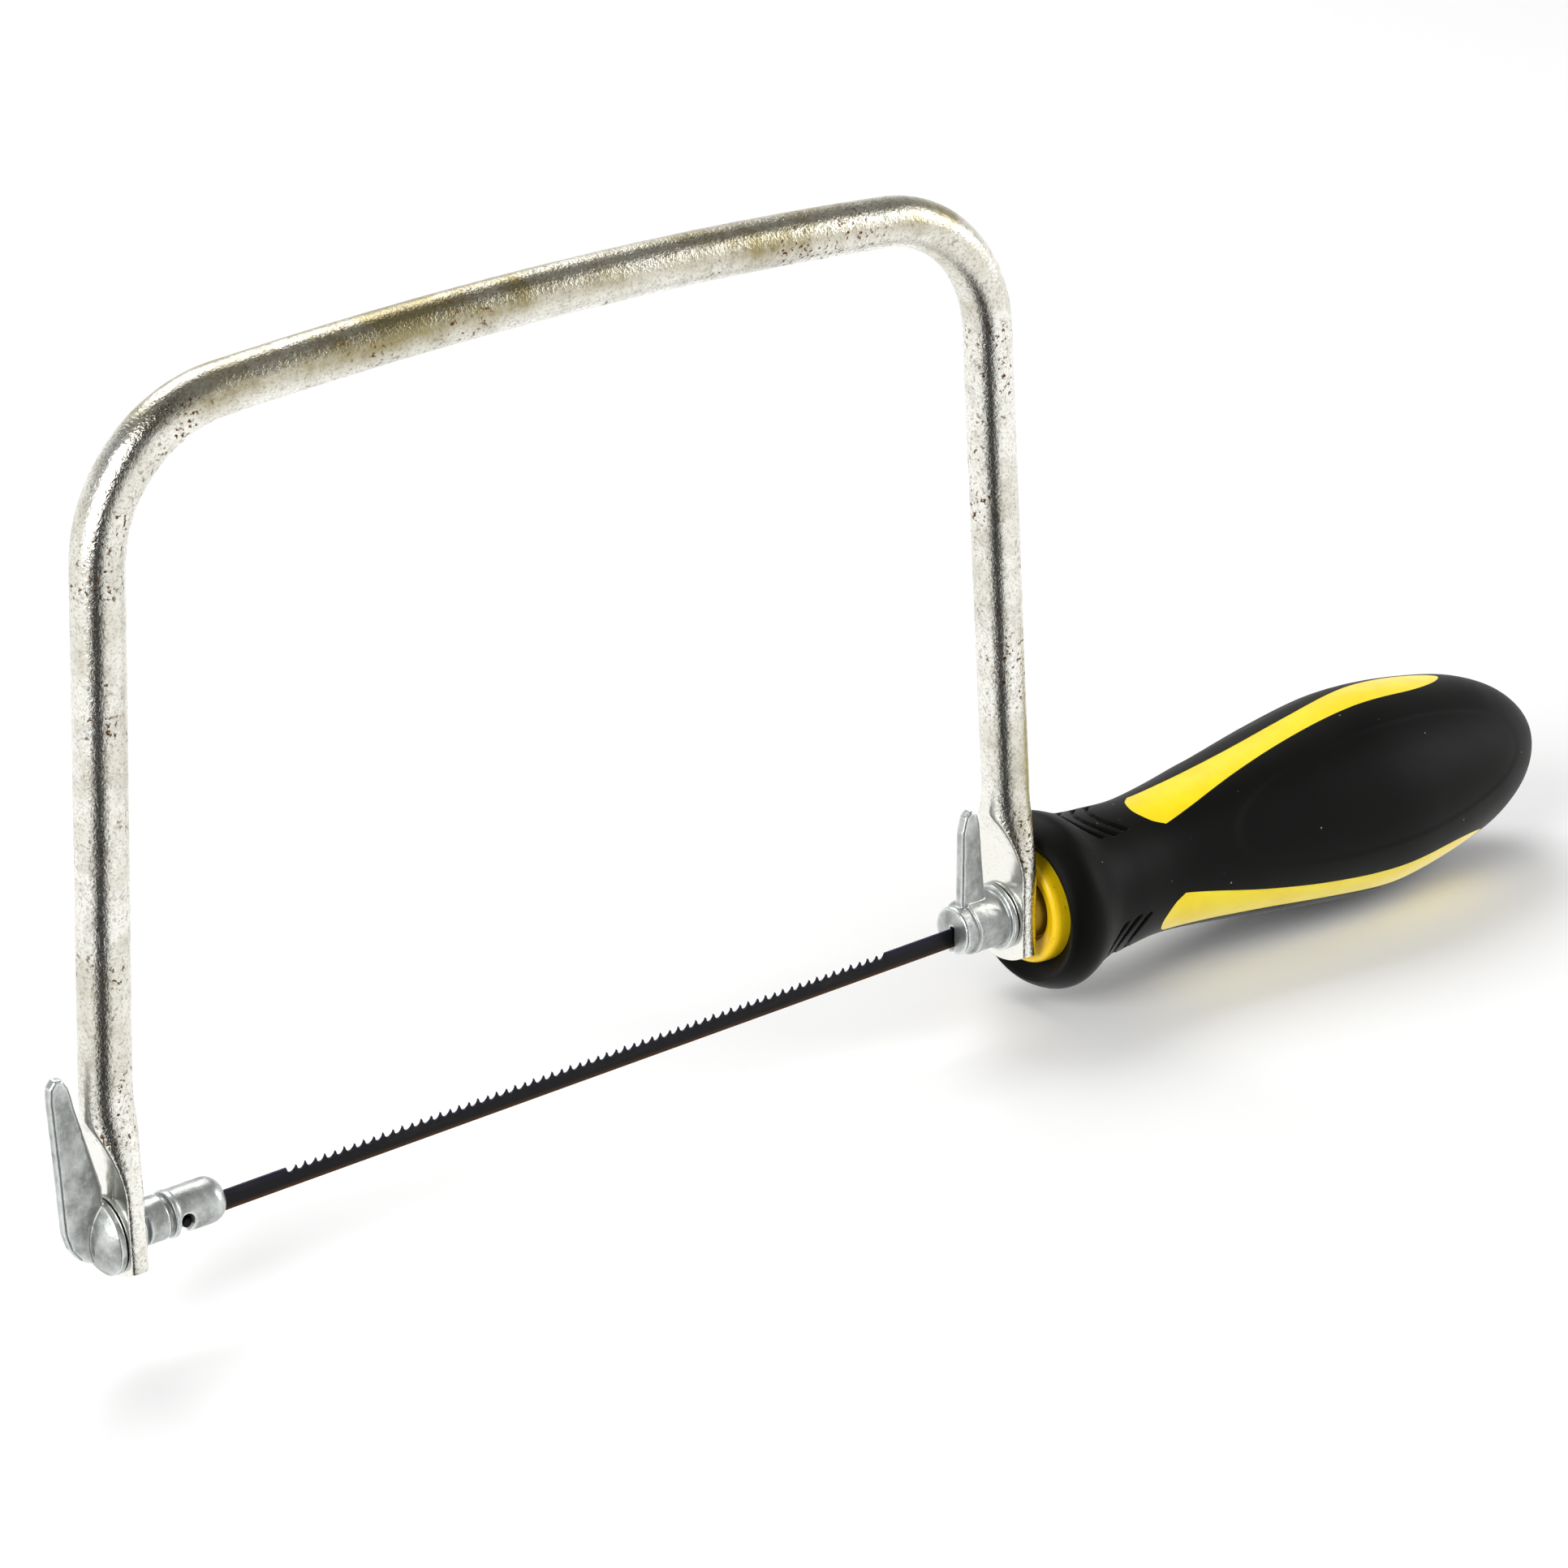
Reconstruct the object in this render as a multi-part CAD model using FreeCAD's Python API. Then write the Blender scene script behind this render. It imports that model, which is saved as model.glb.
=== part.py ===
"""Coping saw: sprung round-bar bow, pinned blade, two rotating blade holders and a screw-on handle.

Frame: millimetres, X along the blade from the toe to the handle, Z up towards the top of the bow,
Y across. The origin is on the axis of the blade holders, level with the front blade pin.
"""
import math
import os

import FreeCAD
import Part

# ---- driving dimensions, mm -------------------------------------------------
PIN_SPAN = 162.0            # between the two blade pins
BLADE_DROP = 1.2            # blade centre line below the holder axis
BLADE_WIDTH = 3.5
BLADE_THICK = 0.5
BLADE_OVERHANG = 1.2        # blade beyond each pin
TOOTH_PITCH = 1.85
TOOTH_DEPTH = 1.0
TOOTH_COUNT = 66
GULLET_START = 0.35         # flat bottom between two teeth, in pitches
GULLET_STOP = 0.60
PIN_R = 0.8
PIN_LENGTH = 5.4
PIN_EDGE = 0.15             # rounding of the pin ends

BAR_R = 4.2                 # round bar of the bow
BOW_TOP = 133.7             # bar centre line at the middle of the top
BOW_TOP_R = 830.0           # gentle arch of the top
BOW_CORNER_R = 24.0
ARM_LEAN = math.radians(3.4)
TAB_CENTRE = 90.1           # tab mid-plane from the middle of the saw
TAB_THICK = 3.0
TAB_HALF_WIDTH = 7.3
TAB_BULGE = 5.0             # half depth of the oval that the flats are pressed into
FRONT_TAB_BOTTOM = 6.4      # lowest point of each tab below the axis
REAR_TAB_BOTTOM = 8.0
TAB_END_R = 13.0
FLARE_LOW = 8.0             # full tab width below this height
FLARE_HIGH = 25.0           # full round bar above this height
SCOOP_R = 28.0              # runout of each flat into the round bar
SCOOP_Z = 8.0               # height where the runout starts

PIVOT_R = 2.5               # stem and stud where they turn in the tabs
PIVOT_CLEAR = 0.06          # radial, where one piece turns in another
FACE_GAP = 0.1              # between turning faces
SIDE_GAP = 0.3              # round the blade and its pin in the rear holder
RIVET_R = 2.1               # stem end, riveted into the head
RIVET_DEPTH = 2.0

HEAD_R = 6.3                # riveted front head
HEAD_EDGE = 1.1
HEAD_DOME = 2.6
WING_THICK = 2.2
FRONT_WING_EDGE = 0.7       # rounding of the wing outlines
REAR_WING_EDGE = 0.6
FRONT_WASHER_R = 5.6
FRONT_WASHER_T = 0.8
POST_R = 3.7
POST_COLLAR_R = 3.95
REBATE_START = 1.2          # cut in the near side of the shank, behind the washer
REBATE_WIDTH = 0.7
REBATE_FLAT = 2.6           # its bottom off the axis
REBATE_LOW = 3.2            # its reach below and above the axis
REBATE_HIGH = 2.4
GROOVE_START = -3.4         # turned groove between shank and collar
GROOVE_STOP = -2.5
NECK_R = 3.1                # bottom of that groove
COLLAR_STOP = -1.6
CUP_R = 3.8
FRONT_CUP_END = 7.6         # past the front pin
CUP_NOSE_FILLET = 2.6
SLOT_WIDTH = 1.1
SLOT_TOP = 0.85             # roof of both blade slots above the holder axis
SEAT_WIDTH = 2.4            # cross notch for the front pin
SEAT_TOP = 0.9              # top of the cross notch above the holder axis

REAR_CUP_R = 4.4
REAR_CUP_END = 4.9          # in front of the rear pin
REAR_CUP_LENGTH = 2.6
REAR_CUP_EDGE = 0.5
REAR_SHANK_R = 5.0
FLANGE_R = 6.1
FLANGE_THICK = 1.3
FLANGE_EDGE = 0.35
STUD_R = 2.5                # outside of the M5 thread
STUD_SEAT = 1.8             # stud's reach into the rear holder
STUD_SHORT = 3.0            # stud stops this far before the end of the insert
STUD_END_CHAMFER = 0.5
THREAD_PITCH = 0.8
TENSION_TURNS = 2.5         # turns of the handle that free the blade
INSERT_GAP = 0.1            # insert's head off the rear tab
INSERT_HEAD_R = 5.8         # head that bears on the tab
INSERT_HEAD_LENGTH = 4.6
INSERT_R = 4.0
INSERT_LENGTH = 18.0        # threaded part behind the head

NOSE_BACK = 1.7             # rim of the nose behind the face of the insert
NOSE_R = 10.4
NOSE_HOLE_R = 6.3           # round the insert's head
CORE_JOIN = 185.0           # end of the straight front part of the core
CORE_NECK = (183.0, 10.1)   # start of the core's curved outline, inside that part
CORE_BACK_END = 289.0
LIP_X = 175.4               # inner edge of the rubber's hollow front face
LIP_WALL = 0.6              # flat rim outside that hollow
GRIP_SKIN = 2.4             # rubber over the core
HANDLE_END = 297.0
PANEL_ANGLE = 26.0          # middle of the rubber panel, degrees up from -Y
WINDOW_TURNS = (60.0, 180.0, -60.0)     # three core windows, degrees from that middle
WINDOW_LEANS = (3.1, 0.0, -3.1)         # degrees that each opens away from the panel
WINDOW_PIVOT = 224.0
PRISM_FOOT = 4.0            # cutters through the rubber reach from here out
PRISM_TOP = 28.0
GROOVE_WIDTH = 0.9
GROOVE_DEPTH = 0.6
GROOVE_BOW = 0.12           # curvature of the three thumb grooves, 1/mm
GROOVES = ((182.0, 5.7), (185.3, 5.7), (188.7, 5.2))    # (x at the middle, half reach) of each

# ---- derived places ----------------------------------------------------------
MIDDLE = 78.9                                   # bow's plane of symmetry
FRONT_TAB = MIDDLE - TAB_CENTRE                 # tab mid-planes
REAR_TAB = MIDDLE + TAB_CENTRE
FRONT_OUTER = FRONT_TAB - TAB_THICK / 2
FRONT_INNER = FRONT_TAB + TAB_THICK / 2
REAR_INNER = REAR_TAB - TAB_THICK / 2
REAR_OUTER = REAR_TAB + TAB_THICK / 2
FLANGE_BACK = REAR_INNER - FACE_GAP
FLANGE_FRONT = FLANGE_BACK - FLANGE_THICK
INSERT_X = REAR_OUTER + INSERT_GAP
NOSE_X = INSERT_X + NOSE_BACK
BORE_X = INSERT_X + INSERT_HEAD_LENGTH
TENSION_TRAVEL = TENSION_TURNS * THREAD_PITCH

X_AXIS = FreeCAD.Vector(1, 0, 0)
Y_AXIS = FreeCAD.Vector(0, 1, 0)
Z_AXIS = FreeCAD.Vector(0, 0, 1)


def vec(x, y, z):
    return FreeCAD.Vector(x, y, z)


# ---- helpers -----------------------------------------------------------------
def rod(radius, start, end, y=0.0, z=0.0):
    """Cylinder along X."""
    return Part.makeCylinder(radius, end - start, vec(start, y, z), X_AXIS)


def block(low, high):
    """Box from its two corners."""
    size = high - low
    return Part.makeBox(size.x, size.y, size.z, low)


def arc_point(centre, radius, angle):
    return vec(centre.x + radius * math.cos(angle), 0, centre.z + radius * math.sin(angle))


def polygon_prism(points, thick):
    """Flat plate in the XZ plane, centred on Y = 0."""
    wire = Part.makePolygon([vec(x, -thick / 2, z) for x, z in points + points[:1]])
    return Part.Face(wire).extrude(vec(0, thick, 0))


def revolved(profile):
    """Solid turned about the X axis from (x, radius) points that start and end on the axis."""
    wire = Part.makePolygon([vec(x, 0, r) for x, r in profile + profile[:1]])
    return Part.Face(wire).revolve(vec(0, 0, 0), X_AXIS, 360)


def spline_turned(points, closing):
    """Solid turned about X: a smooth curve through points, closed by straight lines."""
    curve = Part.BSplineCurve()
    curve.interpolate([vec(x, 0, r) for x, r in points])
    path = [points[-1]] + closing + [points[0]]
    edges = [curve.toShape()]
    for (x0, r0), (x1, r1) in zip(path, path[1:]):
        edges.append(Part.makeLine(vec(x0, 0, r0), vec(x1, 0, r1)))
    return Part.Face(Part.Wire(edges)).revolve(vec(0, 0, 0), X_AXIS, 360)


# ---- bow ---------------------------------------------------------------------
def bow_path():
    """Centre line of the round bar, from the front flare over the top to the rear flare."""
    arm_dir = vec(math.sin(ARM_LEAN), 0, math.cos(ARM_LEAN))
    arm_foot = vec(FRONT_TAB, 0, FLARE_HIGH)
    top_centre = vec(MIDDLE, 0, BOW_TOP - BOW_TOP_R)
    # the corner arc touches the arm line and the inside of the top arc
    side = vec(math.cos(ARM_LEAN), 0, -math.sin(ARM_LEAN))
    offset_foot = arm_foot + side * BOW_CORNER_R
    inner_r = BOW_TOP_R - BOW_CORNER_R
    to_centre = offset_foot - top_centre
    b = to_centre.dot(arm_dir)
    c = to_centre.dot(to_centre) - inner_r ** 2
    corner = offset_foot + arm_dir * (-b + math.sqrt(b * b - c))
    arm_top = corner - side * BOW_CORNER_R
    top_angle = math.atan2(corner.z - top_centre.z, corner.x - top_centre.x)
    top_start = arc_point(top_centre, BOW_TOP_R, top_angle)
    arm_angle = math.atan2(-side.z, -side.x)
    mid_corner = arc_point(corner, BOW_CORNER_R, (arm_angle + top_angle) / 2)

    def mirrored(p):
        return vec(2 * MIDDLE - p.x, 0, p.z)

    edges = [
        Part.makeLine(arm_foot, arm_top),
        Part.Arc(arm_top, mid_corner, top_start).toShape(),
        Part.Arc(top_start, vec(MIDDLE, 0, BOW_TOP), mirrored(top_start)).toShape(),
        Part.Arc(mirrored(top_start), mirrored(mid_corner), mirrored(arm_top)).toShape(),
        Part.makeLine(mirrored(arm_top), mirrored(arm_foot)),
    ]
    return Part.Wire(edges)


def tilted_ring():
    """Bar section at the foot of the front arm, square to the arm, with its seam on +Y."""
    ring = Part.Wire(Part.makeCircle(BAR_R, vec(0, 0, 0), Z_AXIS))
    ring.rotate(vec(0, 0, 0), Z_AXIS, 90)
    ring.rotate(vec(0, 0, 0), Y_AXIS, math.degrees(ARM_LEAN))
    ring.translate(vec(FRONT_TAB, 0, FLARE_HIGH))
    return ring


def tab(bottom):
    """Flattened bar end: the bar flares into an oval, pressed flat on both sides, with a curved foot."""
    x = FRONT_TAB
    oval = Part.Wire(Part.Ellipse(vec(x, TAB_HALF_WIDTH, FLARE_LOW), vec(x + TAB_BULGE, 0, FLARE_LOW),
                                  vec(x, 0, FLARE_LOW)).toShape())
    flare = Part.makeLoft([tilted_ring(), oval], True)
    plate = Part.Face(oval).extrude(vec(0, 0, -FLARE_LOW - bottom))
    foot_centre = vec(x - 2 * BAR_R, 0, TAB_END_R - bottom)
    foot = Part.makeCylinder(TAB_END_R, 4 * BAR_R, foot_centre, X_AXIS)
    body = flare.fuse(plate.common(foot))
    for side in (-1, 1):
        body = body.cut(scoop(x, side))
    hole = rod(PIVOT_R + PIVOT_CLEAR, x - BAR_R, x + BAR_R)
    return body.cut(hole)


def scoop(x, side):
    """Material pressed away beside one flat, with a round runout at the top."""
    face = x + side * TAB_THICK / 2
    flat = block(vec(min(face, face + side * 2 * BAR_R), -2 * TAB_HALF_WIDTH, -2 * REAR_TAB_BOTTOM),
                 vec(max(face, face + side * 2 * BAR_R), 2 * TAB_HALF_WIDTH, SCOOP_Z))
    runout = Part.makeCylinder(SCOOP_R, 4 * TAB_HALF_WIDTH,
                               vec(face + side * SCOOP_R, -2 * TAB_HALF_WIDTH, SCOOP_Z), Y_AXIS)
    return flat.fuse(runout)


def bow_frame():
    bar = bow_path().makePipeShell([tilted_ring()], True, False)
    front = tab(FRONT_TAB_BOTTOM)
    rear = tab(REAR_TAB_BOTTOM).mirror(vec(MIDDLE, 0, 0), X_AXIS)
    return bar.fuse(front).fuse(rear)


# ---- front holder --------------------------------------------------------------
def front_head():
    """Domed rivet head with its thumb wing, outside the front tab."""
    face = FRONT_OUTER - FACE_GAP
    rim = face - HEAD_EDGE
    sphere_r = (HEAD_R ** 2 + HEAD_DOME ** 2) / (2 * HEAD_DOME)
    ball = Part.makeSphere(sphere_r, vec(rim + sphere_r - HEAD_DOME, 0, 0))
    dome = ball.common(rod(HEAD_R, rim - HEAD_DOME, rim))
    head = dome.fuse(rod(HEAD_R, rim, face))
    outline = [
        (face - 0.6, 9.0), (face - 4.2, 23.5), (face - 5.0, 27.4), (face - 6.0, 29.2),
        (face - 7.4, 29.4), (face - 8.4, 28.2), (face - 8.6, 26.0), (face - 8.1, 14.0),
        (face - 7.8, 3.0), (face - 7.0, 0.0), (face - 5.4, -2.4), (face - 3.0, -3.8),
        (face - 0.6, -4.2),
    ]
    wing = polygon_prism(outline, WING_THICK)
    wing = round_long_edges(wing, FRONT_WING_EDGE)
    rivet_hole = rod(RIVET_R, face - RIVET_DEPTH, face + 1.0)
    return head.fuse(wing).cut(rivet_hole).removeSplitter()


def round_long_edges(plate, radius):
    """Softens the outline edges of a flat plate on both faces."""
    picked = [e for e in plate.Edges if abs(e.Vertexes[0].Y - e.Vertexes[-1].Y) < 1e-6]
    return plate.makeFillet(radius, picked)


def front_post():
    """Turned post inside the front tab: stem, shank, groove, collar and slotted cup."""
    face = FRONT_OUTER - FACE_GAP
    washer_in = FRONT_INNER + FACE_GAP + FRONT_WASHER_T
    shank = [
        rod(RIVET_R, face - RIVET_DEPTH, face),
        rod(PIVOT_R, face, washer_in),
        rod(POST_R, washer_in, GROOVE_START),
        rod(NECK_R, GROOVE_START, GROOVE_STOP),
        rod(POST_COLLAR_R, GROOVE_STOP, COLLAR_STOP),
    ]
    cup = rod(CUP_R, COLLAR_STOP, FRONT_CUP_END)
    nose = [e for e in cup.Edges if is_circle(e) and e.CenterOfMass.x > 0]
    cup = cup.makeFillet(CUP_NOSE_FILLET, nose)
    body = cup.multiFuse(shank).removeSplitter()
    cut_from = washer_in + REBATE_START
    rebate = block(vec(cut_from, -2 * POST_R, -REBATE_LOW),
                   vec(cut_from + REBATE_WIDTH, -REBATE_FLAT, REBATE_HIGH))
    slot = block(vec(-BLADE_OVERHANG - SIDE_GAP, -SLOT_WIDTH / 2, -2 * CUP_R),
                 vec(2 * FRONT_CUP_END, SLOT_WIDTH / 2, SLOT_TOP))
    return body.cut(rebate).cut(slot).cut(pin_notch(0.0, 4 * CUP_R))


def is_circle(edge):
    return edge.Curve.TypeId == "Part::GeomCircle"


def pin_notch(x, across):
    """Round-topped cross notch, open below, with its wall against the pulled pin."""
    radius = SEAT_WIDTH / 2
    x -= radius - PIN_R
    top = Part.makeCylinder(radius, across, vec(x, -across / 2, SEAT_TOP - radius), Y_AXIS)
    lower = block(vec(x - radius, -across / 2, -across / 2), vec(x + radius, across / 2, SEAT_TOP - radius))
    return top.fuse(lower)


def front_washer():
    start = FRONT_INNER + FACE_GAP
    outer = rod(FRONT_WASHER_R, start, start + FRONT_WASHER_T)
    return outer.cut(rod(PIVOT_R, start - 1, start + 2))


# ---- rear holder ---------------------------------------------------------------
def rear_holder():
    """Die-cast cup, thumb wing and thrust flange inside the rear tab."""
    end = PIN_SPAN - REAR_CUP_END
    cup = rod(REAR_CUP_R, end, FLANGE_BACK)
    rim = [e for e in cup.Edges if is_circle(e) and e.CenterOfMass.x < PIN_SPAN]
    cup = cup.makeFillet(REAR_CUP_EDGE, rim)
    shank = rod(REAR_SHANK_R, end + REAR_CUP_LENGTH, FLANGE_FRONT)
    flange = rod(FLANGE_R, FLANGE_FRONT, FLANGE_BACK)
    flange = flange.makeFillet(FLANGE_EDGE, [e for e in flange.Edges if is_circle(e)])
    outline = [
        (end + 1.4, 0.0), (end + 1.6, 18.5), (end + 2.3, 21.2), (end + 3.6, 22.3),
        (end + 4.9, 21.4), (end + 5.5, 19.4), (end + 6.9, 4.0), (end + 6.9, 0.0),
    ]
    wing = round_long_edges(polygon_prism(outline, WING_THICK), REAR_WING_EDGE)
    body = cup.multiFuse([shank, flange, wing]).removeSplitter()
    slot_end = PIN_SPAN + BLADE_OVERHANG + TENSION_TRAVEL + SIDE_GAP
    slot = block(vec(end - 1, -SLOT_WIDTH / 2, -2 * REAR_CUP_R), vec(slot_end, SLOT_WIDTH / 2, SLOT_TOP))
    bore = rod(STUD_R + PIVOT_CLEAR, FLANGE_BACK - STUD_SEAT - FACE_GAP, FLANGE_BACK + 1)
    return body.cut(slot).cut(rear_pin_pocket()).cut(bore)


def rear_pin_pocket():
    """Pocket for the rear pin, open below and long enough for the tension travel."""
    half = PIN_LENGTH / 2 + SIDE_GAP
    start = PIN_SPAN - PIN_R - FACE_GAP
    stop = PIN_SPAN + PIN_R + TENSION_TRAVEL + SIDE_GAP
    return block(vec(start, -half, -2 * REAR_CUP_R), vec(stop, half, PIN_R - BLADE_DROP + SIDE_GAP))


def tension_stud():
    """Threaded stud from the rear holder, through the tab and into the handle."""
    shaft = rod(STUD_R, FLANGE_BACK - STUD_SEAT, REAR_OUTER + INSERT_LENGTH - STUD_SHORT)
    far_end = [e for e in shaft.Edges if is_circle(e) and e.CenterOfMass.x > REAR_OUTER]
    return shaft.makeChamfer(STUD_END_CHAMFER, far_end)


# ---- blade ---------------------------------------------------------------------
def blade():
    """Toothed strip with a cross hole at each end; the teeth point at the bow."""
    half = BLADE_WIDTH / 2
    start = -BLADE_OVERHANG
    end = PIN_SPAN + BLADE_OVERHANG
    tooth_start = (PIN_SPAN - TOOTH_COUNT * TOOTH_PITCH) / 2
    top = half - BLADE_DROP
    bottom = -half - BLADE_DROP
    points = [(start, bottom), (start, top)]
    for i in range(TOOTH_COUNT):
        x = tooth_start + i * TOOTH_PITCH
        points.append((x, top))
        points.append((x + GULLET_START * TOOTH_PITCH, top - TOOTH_DEPTH))
        points.append((x + GULLET_STOP * TOOTH_PITCH, top - TOOTH_DEPTH))
    points += [(tooth_start + TOOTH_COUNT * TOOTH_PITCH, top), (end, top), (end, bottom)]
    strip = polygon_prism(points, BLADE_THICK)
    for x in (0, PIN_SPAN):
        hole = Part.makeCylinder(PIN_R, PIN_LENGTH, vec(x, -PIN_LENGTH / 2, -BLADE_DROP), Y_AXIS)
        strip = strip.cut(hole)
    return strip


def blade_pin(x):
    pin = Part.makeCylinder(PIN_R, PIN_LENGTH, vec(x, -PIN_LENGTH / 2, -BLADE_DROP), Y_AXIS)
    return pin.makeFillet(PIN_EDGE, [e for e in pin.Edges if is_circle(e)])


# ---- handle --------------------------------------------------------------------
def grip_profile():
    """Outside of the rubber as (x, radius): collar, neck, bulb and rounded butt."""
    return [
        (173.0, 13.9), (174.3, 15.0), (176.3, 16.0), (178.2, 16.2), (180.2, 15.6), (182.5, 14.6),
        (184.7, 13.85), (187.5, 13.4), (191.0, 13.1), (199.0, 12.6), (208.2, 13.4), (221.0, 15.3),
        (233.3, 17.2), (244.7, 18.6), (252.5, 19.05), (260.0, 18.6), (270.0, 17.2), (280.0, 15.0),
        (288.0, 11.6), (293.5, 7.4), (296.2, 3.4), (HANDLE_END, 0.0),
    ]


def grip_body(sunk=0.0):
    """Whole outside of the rubber, solid, or the same surface sunk by a little."""
    outline = [(x, max(r - sunk, 0.0)) for x, r in grip_profile()]
    return spline_turned(outline, [(outline[0][0], 0)])


def core_back():
    """Curved part of the core, one rubber thickness inside the grip."""
    outline = [CORE_NECK] + [(x, r - GRIP_SKIN) for x, r in grip_profile() if CORE_JOIN < x < CORE_BACK_END]
    return spline_turned(outline, [(outline[-1][0], 0), (CORE_NECK[0], 0)])


def smooth_edge(points):
    """Smooth curve through (x, across) points, lying flat."""
    curve = Part.BSplineCurve()
    curve.interpolate([vec(x, w, 0) for x, w in points])
    return curve.toShape()


def radial_prism(outline, turn):
    """Prism through the rubber over a closed (x, across) outline, at an angle from the panel's middle."""
    prism = Part.Face(outline).extrude(vec(0, 0, PRISM_TOP - PRISM_FOOT))
    prism.translate(vec(0, 0, PRISM_FOOT))
    prism.rotate(vec(0, 0, 0), X_AXIS, 90 - PANEL_ANGLE - turn)
    return prism


def window(turn, lean):
    """Long opening in the rubber: bowed blunt end at the neck, narrow waist, rounded point at the butt."""
    side = [(200.3, 5.0), (207.0, 4.4), (213.0, 3.8), (219.0, 3.3), (226.0, 2.95), (233.0, 2.85),
            (241.0, 2.95), (249.0, 3.4), (257.0, 4.0), (264.0, 4.2), (269.5, 3.6), (274.0, 2.2)]
    around = side + [(276.4, 0.0)] + [(x, -w) for x, w in reversed(side)]
    end = [(200.3, -5.0), (198.0, -3.2), (196.7, 0.0), (198.0, 3.2), (200.3, 5.0)]
    outline = Part.Wire([smooth_edge(around), smooth_edge(end)])
    outline.rotate(vec(WINDOW_PIVOT, 0, 0), Z_AXIS, lean)
    return radial_prism(outline, turn)


def grooves(turn):
    """Three bowed thumb grooves between the collar and one window, as cutters."""
    under = grip_body(GROOVE_DEPTH)
    cutters = []
    for middle, reach in GROOVES:
        start = middle - GROOVE_WIDTH / 2
        stop = middle + GROOVE_WIDTH / 2
        bow = GROOVE_BOW * reach ** 2
        front = smooth_edge([(start + bow, -reach), (start, 0), (start + bow, reach)])
        back = smooth_edge([(stop + bow, reach), (stop, 0), (stop + bow, -reach)])
        tip = Part.makeLine(vec(start + bow, reach, 0), vec(stop + bow, reach, 0))
        other_tip = Part.makeLine(vec(stop + bow, -reach, 0), vec(start + bow, -reach, 0))
        outline = Part.Wire([front, tip, back, other_tip])
        cutters.append(radial_prism(outline, turn).cut(under))
    return cutters


def handle_core():
    """Hard plastic core: nose round the insert's head, and the pads that fill the windows."""
    nose = revolved([
        (BORE_X, 0), (BORE_X, NOSE_HOLE_R), (NOSE_X + 1.2, NOSE_HOLE_R), (NOSE_X + 0.35, 8.4),
        (NOSE_X, 9.1), (NOSE_X + 0.15, 9.7), (NOSE_X + 0.8, 10.2), (NOSE_X + 1.8, NOSE_R),
        (CORE_JOIN, NOSE_R), (CORE_JOIN, 0),
    ])
    pads = [grip_body().common(window(turn, lean)) for turn, lean in zip(WINDOW_TURNS, WINDOW_LEANS)]
    cavity = rod(INSERT_R, INSERT_X, BORE_X + INSERT_LENGTH)
    return nose.multiFuse([core_back()] + pads).cut(cavity)


def handle_grip():
    """Rubber overmould: the outer shape less the core, its windows and the thumb grooves."""
    start, rim = grip_profile()[0]
    hollow = revolved([(start - 1, 0), (start - 1, rim - LIP_WALL), (start, rim - LIP_WALL),
                       (LIP_X, NOSE_R), (LIP_X, 0)])
    cutters = [rod(NOSE_R, NOSE_X, CORE_JOIN), core_back(), hollow]
    for turn, lean in zip(WINDOW_TURNS, WINDOW_LEANS):
        cutters.append(window(turn, lean))
        cutters += grooves(turn)
    return grip_body().cut(cutters)


def handle_insert():
    """Threaded bush moulded into the core, with a head that bears on the rear tab."""
    stop = BORE_X + INSERT_LENGTH
    head = rod(INSERT_HEAD_R, INSERT_X, BORE_X)
    bore = rod(STUD_R + PIVOT_CLEAR, INSERT_X - 1, stop + 1)
    return head.fuse(rod(INSERT_R, BORE_X, stop)).cut(bore).removeSplitter()


# ---- output --------------------------------------------------------------------
PIECES = {
    "bow_frame": bow_frame,
    "front_wing_head": front_head,
    "front_post": front_post,
    "front_washer": front_washer,
    "rear_holder": rear_holder,
    "tension_stud": tension_stud,
    "blade": blade,
    "front_blade_pin": lambda: blade_pin(0.0),
    "rear_blade_pin": lambda: blade_pin(PIN_SPAN),
    "handle_core": handle_core,
    "handle_grip": handle_grip,
    "handle_insert": handle_insert,
}


def main():
    os.makedirs("parts", exist_ok=True)
    for name, make in PIECES.items():
        shape = make()
        print(name, "valid", shape.isValid(), "solids", len(shape.Solids), "volume", round(shape.Volume, 1))
        shape.exportStep("parts/" + name + ".step")


main()
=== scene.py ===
"""Looks of the coping saw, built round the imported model.

Shapes are given in millimetres in the frame of the model and scaled to metres when a mesh is made:
X along the blade from the toe to the handle, Z up to the top of the bow, Y across.
"""
import math

import bmesh
import bpy
import numpy as np
from mathutils import Matrix, Vector, noise


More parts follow.
